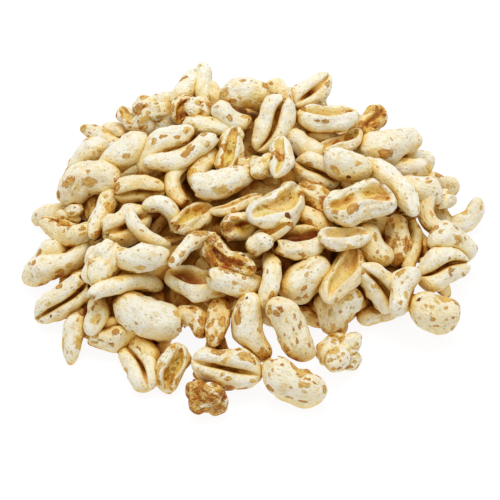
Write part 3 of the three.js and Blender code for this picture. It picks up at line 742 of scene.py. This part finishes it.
class Batch:
    """Closed meshes, gathered as arrays and joined into one piece."""

    def __init__(self, name):
        self.name = name
        self.points, self.places, self.quads, self.triangles = [], [], [], []
        self.looks = {"groove": [], "tone": [], "bran": []}
        self.count = 0

    def append(self, points, faces, places, **looks):
        """Adds a mesh: its points, its faces, its places in the patterns, and its looks there."""
        quads, triangles = faces
        self.quads.append(quads + self.count)
        self.triangles.append(triangles + self.count)
        self.count += len(points)
        self.points.append(points)
        self.places.append(places)
        for name, values in looks.items():
            self.looks[name].append(np.broadcast_to(values, len(points)))

    def add(self, puff, grid, seed):
        """Adds a puff, moved back into the solid's box where it would reach out of it."""
        random = make_random(seed)
        for _ in range(FIRST_DRAWS):
            random()
        shape = popped_points if puff["kind"] == "popped" else creased_points
        points, straight, groove = shape(puff, grid, random)
        points = points + puff["middle"]
        points += np.maximum(0, BOX[0] - points.min(0)) - np.maximum(0, points.max(0) - BOX[1])
        shift = np.array([random(), random(), random()]) * PATTERN_SHIFT
        bran, tone = puff["look"] or (random(), random())
        self.append(points, ring_grid(*grid), straight + shift, groove=groove, tone=tone, bran=bran)

    def build(self, material):
        points = np.concatenate(self.points) * MM
        quads = np.concatenate(self.quads)
        triangles = np.concatenate(self.triangles)
        mesh = bpy.data.meshes.new(self.name)
        mesh.vertices.add(len(points))
        mesh.vertices.foreach_set("co", points.astype(np.float32).ravel())
        corners = np.concatenate([quads.ravel(), triangles.ravel()]).astype(np.int32)
        sizes = np.concatenate([np.full(len(quads), 4), np.full(len(triangles), 3)])
        mesh.loops.add(len(corners))
        mesh.loops.foreach_set("vertex_index", corners)
        mesh.polygons.add(len(sizes))
        starts = np.concatenate([[0], np.cumsum(sizes)[:-1]]).astype(np.int32)
        mesh.polygons.foreach_set("loop_start", starts)
        mesh.polygons.foreach_set("use_smooth", np.ones(len(sizes), bool))
        mesh.update(calc_edges=True)
        place = mesh.attributes.new("place", "FLOAT_VECTOR", "POINT")
        place.data.foreach_set("vector", np.concatenate(self.places).astype(np.float32).ravel())
        for name, values in self.looks.items():
            attribute = mesh.attributes.new(name, "FLOAT", "POINT")
            attribute.data.foreach_set("value", np.concatenate(values).astype(np.float32))
        mesh.validate()
        mesh.materials.append(material)
        return new_object(self.name, mesh)


# ---- Materials: colours and patterns

# The skin's colour with painted shade, by how hidden a place is from the light: cream in the open, golden on
# a puff's sides, browner under it, and red-brown deep in the heap, where the light has come through other
# puffs.
SKIN_AND_PAINTED_SHADE = [
    (0.05, (0.41, 0.12, 0.004, 1)),
    (0.26, (0.77, 0.44, 0.058, 1)),
    (0.48, (0.90, 0.70, 0.27, 1)),
    (0.70, (0.92, 0.80, 0.47, 1)),
    (0.95, (0.89, 0.855, 0.735, 1)),
]
# The tints that the skin is multiplied by.
STRAW = (0.98, 0.90, 0.71, 1)  # the yellower puffs
# painted shade in the dents and pores of the skin
DENT_SHADE = (0.87, 0.79, 0.58, 1)
STAIN = (0.90, 0.70, 0.34, 1)
FLAKE = (0.59, 0.30, 0.07, 1)  # under a bran flake
FLAKE_PALE = (0.86, 0.67, 0.28, 1)
FLAKE_EDGE = (0.44, 0.20, 0.045, 1)
SPECK = (0.62, 0.50, 0.22, 1)
BURN = (0.20, 0.075, 0.02, 1)
HUSK = (0.93, 0.75, 0.37, 1)  # the groove's sides
HUSK_YELLOW = (0.89, 0.82, 0.36, 1)
HUSK_BROWN = (0.72, 0.42, 0.10, 1)
# the groove's bottom: partly the crease's own red-brown, partly painted shade where the groove is deepest
CREASE_AND_SHADE = (0.45, 0.22, 0.026, 1)  # the groove's bottom
# The inside of the heap, painted as the shade deep in it, from its darker to its paler places.
INSIDE_SHADE = [(0.34, 0.12, 0.011, 1), (0.56, 0.27, 0.04, 1)]

# The noise patterns: how far each is squeezed along and across a puff (less than 1 draws it out), how fine
# it is, per millimetre, and its detail and roughness.
EVEN = (1, 1, 1)
PATTERNS = {
    "cloud": (EVEN, 0.4, 4, 0.65),
    "wrinkle": ((0.6, 1, 1), 1.0, 5, 0.62),
    "pores": (EVEN, 2.6, 2, 0.6),
    "stain": ((0.7, 1, 1), 0.3, 4, 0.65),
    "grain": ((0.4, 1, 1), 2.8, 3, 0.6),
    "crowd": (EVEN, 0.3, 1, 0.5),
    "lining": ((0.45, 1, 1), 0.5, 4, 0.6),
    "streaks": ((0.5, 1.3, 1.3), 0.9, 3, 0.6),
    "inside": (EVEN, 0.3, 3, 0.6),
}

# Where each look sets in and where it is full, on the pattern or measure that rules it.
RAMPS = {
    "straw": (0.2, 1.0),
    "dent_shade": (0.54, 0.26),
    "stain": (0.54, 0.70),
    "grain": (0.4, 0.6),
    "flake_edge": (0.6, 0.95),
    "crowd": (0.4, 0.7),
    "groove_side": (0.12, 0.6),
    "yellow_lining": (0.52, 0.44),
    "brown_lining": (0.55, 0.6),
    "streaks": (0.55, 0.8),
    "groove_bottom": (0.7, 1.2),
    "blot": (1.0, 0.84),
    "inside": (0.35, 0.65),
}

HIDDEN_REACH = 0.005  # metres: how near other puffs must be to hide a place from the light
HIDDEN_SAMPLES = 8
CLOUD_MIDDLE = 0.55
CLOUD_STRENGTH = 0.9
# how far pores count in the relief, and in the painted shade of the dents
PORES_IN_RELIEF = 0.6
PORES_IN_SHADE = 0.3
STAIN_STRENGTH = 0.7

# Blots: how fine the warp of their places is, and how far it moves them, as shares of the space between
# them, how unevenly they are scattered, the smallest one's radius as a share of the widest's, and how fine
# and how strong the noise is that tears their edges, with its detail and roughness.
WARP_FINENESS = 0.9
WARP_REACH = 0.5
BLOT_SCATTER = 0.9
BLOT_LEAST = 0.4
TORN_FINENESS = 2.6
TORN_NOISE = (3, 0.65)
TORN_STRENGTH = 1.5

# Bran flakes, large and small: the space between them along the puff and across it, their share of the
# flakes, and the widest one's radius as a share of that space.
FLAKE_SIZES = [((3.8, 2.6), 0.9, 0.53), ((2.0, 1.4), 0.7, 0.5)]
FLAKES_BY_BRAN = 1.25
FLAKES_ANYWAY = 0.12
FLAKE_GROWTH = 0.4  # how far flakes grow for each step of bran beyond 1
FLAKE_DARKENING = 0.3  # and how much darker they get
PALE_BY_GRAIN = 0.8
PALE_BELOW = 0.4  # how much of a flake's paleness is taken off again
EDGE_STRENGTH = 0.9

# Specks and burnt spots, as blots: space, share and widest.
SPECKS = ((1.0, 0.7), 0.7, 0.42)
BURNS = ((4.2, 3.4), 0.16, 0.16)
SPECK_STRENGTH = 0.8

GOLDEN_ANYWAY = 0.4  # how golden the groove's sides are with no bran at all; bran adds the rest
STREAKS_BY_DARK = 0.2  # how far a darker groove's streaks spread
BOTTOM_BY_DARK = 0.25  # and how far up its sides they reach

ROUGHNESS = 0.55
FLAKE_ROUGHNESS = 0.12
FLAKE_RELIEF = 0.15
BUMP = {"Strength": 0.7, "Distance": 0.0007}
PUFF_SHEEN = {
    "Specular IOR Level": 0.3,
    "Subsurface Weight": 0.15,
    "Subsurface Radius": (1.0, 0.5, 0.2),
    "Subsurface Scale": 0.001,
}
CORE_SHEEN = {"Roughness": 0.9, "Specular IOR Level": 0.05}

# How each kind looks: how thickly flakes lie on it, how far the groove's sides turn golden, how far its
# bottom turns red-brown, partly as painted shade, how much of the skin's painted shade is taken off in the
# groove, and how much more painted shade darkens the skin deep in the heap.
KIND_LOOKS = {
    "whole": {"flakes": 0.5, "golden": 0.5, "dark": 0.9},
    "split": {"flakes": 0.42, "golden": 0.8, "dark": 1.0},
    "open": {"flakes": 0.6, "golden": 1.25, "dark": 0.25, "groove_shade_lift": 0.25},
    "hollow": {"flakes": 0.35, "golden": 2.4, "dark": 1.7},
    "branny": {"flakes": 1.1, "golden": 1.6, "dark": 1.0},
    "curled": {"flakes": 0.35, "golden": 0.7, "dark": 0.8},
    "popped": {"flakes": 0.75, "golden": 1.2, "dark": 1.0},
}
# the bed's puffs take more painted shade, as they lie deep in the heap
BED_LOOK = {"flakes": 0.6, "golden": 0.5, "dark": 0.9, "sunk": 0.22}

# ---- Materials


class Nodes:
    """A short way to write a material's node tree."""

    def __init__(self, name):
        self.material = bpy.data.materials.new(name)
        self.material.use_nodes = True
        self.tree = self.material.node_tree
        self.shader = self.tree.nodes["Principled BSDF"]

    def plug(self, node, inputs):
        for key, value in inputs.items():
            if isinstance(value, bpy.types.NodeSocket):
                self.tree.links.new(value, node.inputs[key])
            else:
                node.inputs[key].default_value = value

    def shade(self, inputs):
        """Sets the shader's own sockets, and gives the finished material."""
        self.plug(self.shader, inputs)
        return self.material

    def node(self, kind, inputs, **settings):
        made = self.tree.nodes.new(kind)
        for key, value in settings.items():
            setattr(made, key, value)
        self.plug(made, inputs)
        return made

    def attribute(self, name, output="Fac"):
        return self.node("ShaderNodeAttribute", {}, attribute_name=name).outputs[output]

    def math(self, operation, a, b, clamp=False):
        return self.node("ShaderNodeMath", {0: a, 1: b}, operation=operation, use_clamp=clamp).outputs[0]

    def add(self, a, b):
        return self.math("ADD", a, b)

    def minus(self, a, b, clamp=False):
        return self.math("SUBTRACT", a, b, clamp)

    def times(self, a, b, clamp=False):
        return self.math("MULTIPLY", a, b, clamp)

    def ramp(self, value, low, high):
        """0 below low, 1 above high, and smooth between them."""
        made = self.node(
            "ShaderNodeMapRange",
            {"Value": value, "From Min": low, "From Max": high},
            interpolation_type="SMOOTHSTEP",
        )
        return made.outputs["Result"]

    def noise(self, vector, scale, detail, roughness):
        inputs = {"Vector": vector, "Scale": scale, "Detail": detail, "Roughness": roughness}
        return self.node("ShaderNodeTexNoise", inputs).outputs["Fac"]

    def pattern(self, place, name):
        """One of the noise patterns."""
        sizes, *fineness = PATTERNS[name]
        return self.noise(place if sizes == EVEN else self.stretched(place, sizes), *fineness)

    def mix(self, share, a, b, blend_type="MIX"):
        made = self.node(
            "ShaderNodeMix", {"Factor": share, "A": a, "B": b}, data_type="RGBA", blend_type=blend_type
        )
        return made.outputs["Result"]

    def tinted(self, colour, share, tint):
        """The colour multiplied by a tint, by the share given."""
        return self.mix(share, colour, tint, "MULTIPLY")

    def stretched(self, vector, sizes):
        return self.node("ShaderNodeVectorMath", {0: vector, 1: sizes}, operation="MULTIPLY").outputs[0]

    def colours(self, value, stops):
        """A colour for a value from 0 to 1, blended between stops of place and colour."""
        made = self.node("ShaderNodeValToRGB", {"Fac": value})
        elements = made.color_ramp.elements
        for number, (place, colour) in enumerate(stops):
            element = elements[number] if number < 2 else elements.new(place)
            element.position = place
            element.color = colour
        return made.outputs["Color"]

    def blots(self, place, space, share, widest, spread=1.0):
        """Scattered blots with ragged edges: 1 inside, 0 outside, how near the edge, and a chance for each.

        space is the distance between blots along the puff and across it, share how many of them there are,
        widest the radius of the largest as a share of that space, and spread how much they have grown.
        """
        along, across = space
        inputs = {"Vector": place, "Scale": WARP_FINENESS / across, "Detail": 1.0}
        warp = self.node("ShaderNodeTexNoise", inputs).outputs["Color"]
        shift = self.stretched(warp, (along * WARP_REACH, across * WARP_REACH, across * WARP_REACH))
        moved = self.node("ShaderNodeVectorMath", {0: place, 1: shift}, operation="ADD").outputs[0]
        moved = self.stretched(moved, (1 / along, 1 / across, 1 / across))
        cell = self.node("ShaderNodeTexVoronoi", {"Vector": moved, "Scale": 1.0, "Randomness": BLOT_SCATTER})
        chance = self.node("ShaderNodeSeparateColor", {"Color": cell.outputs["Color"]})
        chosen = self.math("LESS_THAN", chance.outputs["Red"], share)
        reach = self.times(chance.outputs["Green"], (1 - BLOT_LEAST) * widest)
        reach = self.times(self.add(reach, BLOT_LEAST * widest), spread)
        near = self.math("DIVIDE", cell.outputs["Distance"], reach)
        torn = self.minus(self.noise(place, TORN_FINENESS / across, *TORN_NOISE), 0.5)
        near = self.add(near, self.times(torn, TORN_STRENGTH))
        return self.times(self.ramp(near, *RAMPS["blot"]), chosen), near, chance.outputs["Blue"]


def skin_and_painted_shade(nodes, place, groove, groove_shade_lift, sunk):
    """The skin's colour with painted shade: darker and browner by how hidden a place is from the light, with
    clouds in it, and yellower on some puffs.
    """
    # painted shade: ambient occlusion sets where the skin's colour lies on the ramp from cream to red-brown
    inputs = {"Distance": HIDDEN_REACH}
    hidden = nodes.node("ShaderNodeAmbientOcclusion", inputs, samples=HIDDEN_SAMPLES).outputs["AO"]
    # sunk adds painted shade to the bed's skin; the groove's lift takes painted shade off the groove
    cloud = nodes.minus(nodes.pattern(place, "cloud"), CLOUD_MIDDLE + sunk)
    lit = nodes.add(hidden, nodes.times(cloud, CLOUD_STRENGTH))
    lit = nodes.add(lit, nodes.times(groove, groove_shade_lift))
    colour = nodes.colours(lit, SKIN_AND_PAINTED_SHADE)
    return nodes.tinted(colour, nodes.ramp(nodes.attribute("tone"), *RAMPS["straw"]), STRAW)


def add_dent_shade_and_stains(nodes, colour, place):
    """Painted shade in dents and pores, which turn darker and yellower than the skin around them, and
    stains. Gives their relief too.
    """
    pores = nodes.minus(nodes.pattern(place, "pores"), 0.5)
    dented = nodes.add(nodes.pattern(place, "wrinkle"), nodes.times(pores, PORES_IN_RELIEF))
    shade_depth = nodes.add(dented, nodes.times(pores, PORES_IN_SHADE))
    colour = nodes.tinted(colour, nodes.ramp(shade_depth, *RAMPS["dent_shade"]), DENT_SHADE)
    stained = nodes.ramp(nodes.pattern(place, "stain"), *RAMPS["stain"])
    return nodes.tinted(colour, nodes.times(stained, STAIN_STRENGTH), STAIN), dented


def add_flakes(nodes, colour, place, bran, flakes):
    """Bran flakes, large and small, with a darker edge. Gives where they lie too."""
    share = nodes.add(nodes.times(bran, FLAKES_BY_BRAN * flakes), FLAKES_ANYWAY * flakes)
    grain = nodes.ramp(nodes.pattern(place, "grain"), *RAMPS["grain"])
    grain = nodes.times(grain, PALE_BY_GRAIN)
    more = nodes.times(nodes.math("MAXIMUM", bran, 1.0), FLAKE_GROWTH)
    spread = nodes.add(more, 1 - FLAKE_GROWTH)
    thick = nodes.times(nodes.minus(bran, 1.0, clamp=True), FLAKE_DARKENING)
    covered = None
    for space, part, widest in FLAKE_SIZES:
        flake, near, chance = nodes.blots(place, space, nodes.times(share, part), widest, spread)
        pale = nodes.minus(nodes.add(grain, chance), PALE_BELOW)
        inside = nodes.mix(nodes.minus(pale, thick, clamp=True), FLAKE, FLAKE_PALE)
        edge = nodes.times(nodes.ramp(near, *RAMPS["flake_edge"]), nodes.minus(EDGE_STRENGTH, chance))
        colour = nodes.tinted(colour, flake, nodes.mix(edge, inside, FLAKE_EDGE))
        covered = flake if covered is None else nodes.math("MAXIMUM", covered, flake)
    return colour, covered


def add_specks(nodes, colour, place):
    """Specks, crowded in places, and a few burnt spots."""
    crowd = nodes.ramp(nodes.pattern(place, "crowd"), *RAMPS["crowd"])
    space, share, widest = SPECKS
    speck, _, _ = nodes.blots(place, space, nodes.times(crowd, share), widest)
    colour = nodes.tinted(colour, nodes.times(speck, SPECK_STRENGTH), SPECK)
    burnt, _, _ = nodes.blots(place, *BURNS)
    return nodes.tinted(colour, burnt, BURN)


def add_groove(nodes, colour, place, bran, groove, golden, dark):
    """The groove turns golden, with yellow and brown patches, and then red-brown in streaks, partly the
    crease's own colour and partly painted shade that deepens with the groove.
    """
    side = nodes.times(nodes.ramp(groove, *RAMPS["groove_side"]), golden)
    by_bran = nodes.add(nodes.times(bran, 1 - GOLDEN_ANYWAY), GOLDEN_ANYWAY)
    lining = nodes.pattern(place, "lining")
    husk = nodes.mix(nodes.ramp(lining, *RAMPS["yellow_lining"]), HUSK, HUSK_YELLOW)
    husk = nodes.mix(nodes.ramp(lining, *RAMPS["brown_lining"]), husk, HUSK_BROWN)
    colour = nodes.tinted(colour, nodes.times(side, by_bran, clamp=True), husk)
    low, high = RAMPS["streaks"]
    shift = STREAKS_BY_DARK * dark
    streaks = nodes.ramp(nodes.pattern(place, "streaks"), low - shift, high - shift)
    low, high = RAMPS["groove_bottom"]
    shift = BOTTOM_BY_DARK * dark
    bottom = nodes.times(nodes.ramp(groove, low - shift, high - shift), streaks)
    return nodes.tinted(colour, nodes.times(bottom, min(dark, 1)), CREASE_AND_SHADE)


def puff_material(name, flakes, golden, dark, groove_shade_lift=0.0, sunk=0.0):
    """Puffed grain: cream skin with painted shade where hidden, golden-brown bran flakes and specks, and
    browner in the groove, partly as painted shade.
    """
    nodes = Nodes(name)
    place = nodes.attribute("place", "Vector")
    groove = nodes.attribute("groove")
    bran = nodes.attribute("bran")

    colour = skin_and_painted_shade(nodes, place, groove, groove_shade_lift, sunk)
    colour, dented = add_dent_shade_and_stains(nodes, colour, place)
    colour, covered = add_flakes(nodes, colour, place, bran, flakes)
    colour = add_specks(nodes, colour, place)
    colour = add_groove(nodes, colour, place, bran, groove, golden, dark)

    rough = nodes.add(nodes.times(covered, FLAKE_ROUGHNESS), ROUGHNESS)
    relief = nodes.add(dented, nodes.times(covered, FLAKE_RELIEF))
    bump = nodes.node("ShaderNodeBump", {"Height": relief, **BUMP}).outputs["Normal"]
    return nodes.shade({"Base Color": colour, "Roughness": rough, "Normal": bump, **PUFF_SHEEN})


def shaded_core_material():
    """The inside of the heap as painted shade: dim, and browner than the puffs' skins."""
    nodes = Nodes("shaded_heap_inside")
    pattern = nodes.pattern(nodes.attribute("place", "Vector"), "inside")
    colour = nodes.mix(nodes.ramp(pattern, *RAMPS["inside"]), *INSIDE_SHADE)
    return nodes.shade({"Base Color": colour, **CORE_SHEEN})


# ---- The pieces


def build_core():
    """The core under the bed: mounds with an uneven skin, coloured as the painted shade inside the heap."""
    batch = Batch("shaded_heap_inside")
    for number, (middle, half) in enumerate(CORE_MOUNDS):
        points = ball_points(*CORE_GRID) * half
        points *= swelling(points, make_random(CORE_SEED + number), CORE_LUMPS)[:, None]
        points += middle
        points[:, 2] = np.maximum(points[:, 2], CORE_LIFT)
        batch.append(points, ring_grid(*CORE_GRID), points, groove=0, tone=0, bran=0)
    return batch.build(shaded_core_material())


def build_puffs():
    """All puffs, joined by kind, with the bed as a piece of its own."""
    heap = []
    laid = [*lay_back(heap), *lay_shown(heap)]
    pieces = []
    for kind, look in KIND_LOOKS.items():
        batch = Batch(f"puffs_{kind}")
        for number, puff in enumerate(laid):
            if puff["kind"] == kind:
                batch.add(puff, GRID[kind], PUFF_SEED + SEED_STEP * number)
        pieces.append(batch.build(puff_material(f"puff_{kind}", **look)))
    bed = Batch("puffs_bed")
    for number, puff in enumerate([*lay_bed(BED_SEED, False), *lay_bed(BED_SEED + 1, True)]):
        bed.add(puff, BED_GRID, BED_PUFF_SEED + SEED_STEP * number)
    pieces.append(bed.build(puff_material("puff_bed", **BED_LOOK)))
    return pieces


# ---- The stage

PICTURE_WIDTH = 0.1  # metres across the picture at the origin's distance
AIM = (-0.0004, 0, 0)
LENS = 900  # a long lens: the picture shows hardly any perspective
SENSOR = 36
NEAREST = 0.01  # metres: what is nearer to the camera isn't seen

FLOOR_HALF = 3.0
# A table lit to white, on which shadows stay faint.
FLOOR_LOOK = {
    "Base Color": (0.12, 0.12, 0.124, 1),
    "Roughness": 0.9,
    "Specular IOR Level": 0.0,
    "Emission Color": (1, 1, 1, 1),
    "Emission Strength": 0.91,
}

STUDIO_STRENGTH = 0.74
KEY_PLACE = (0.0, 0.25, 0.8)
KEY_SIZE = 0.5
KEY_POWER = 3.8


def build_floor():
    half = FLOOR_HALF
    corners = [(-half, -half, 0), (half, -half, 0), (half, half, 0), (-half, half, 0)]
    mesh = bpy.data.meshes.new("floor")
    mesh.from_pydata(corners, [], [(0, 1, 2, 3)])
    mesh.materials.append(Nodes("white_table").shade(FLOOR_LOOK))
    new_object("floor", mesh)


def build_light():
    """A soft round light above the heap and a little behind it."""
    light = bpy.data.lights.new("key", "AREA")
    light.shape = "DISK"
    light.size = KEY_SIZE
    light.energy = KEY_POWER
    lamp = new_object("key", light)
    lamp.location = KEY_PLACE
    lamp.rotation_euler = Vector(KEY_PLACE).to_track_quat("Z", "Y").to_euler()


def build_world():
    world = bpy.data.worlds.new("studio")
    world.use_nodes = True
    background = world.node_tree.nodes["Background"]
    background.inputs["Color"].default_value = (1, 1, 1, 1)
    background.inputs["Strength"].default_value = STUDIO_STRENGTH
    bpy.context.scene.world = world


def build_camera():
    data = bpy.data.cameras.new("camera")
    data.lens = LENS
    data.sensor_width = SENSOR
    data.clip_start = NEAREST
    camera = new_object("camera", data)
    camera.location = Vector(AIM) + Vector(TO_EYE) * (PICTURE_WIDTH * LENS / SENSOR)
    camera.rotation_euler = Vector(TO_EYE).to_track_quat("Z", "Y").to_euler()
    bpy.context.scene.camera = camera


def main():
    build_camera()
    for piece in [build_core(), *build_puffs()]:
        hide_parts(NODE)
        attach(piece, "root")
    build_floor()
    build_world()
    build_light()
    bpy.context.scene.view_settings.view_transform = "Standard"


main()
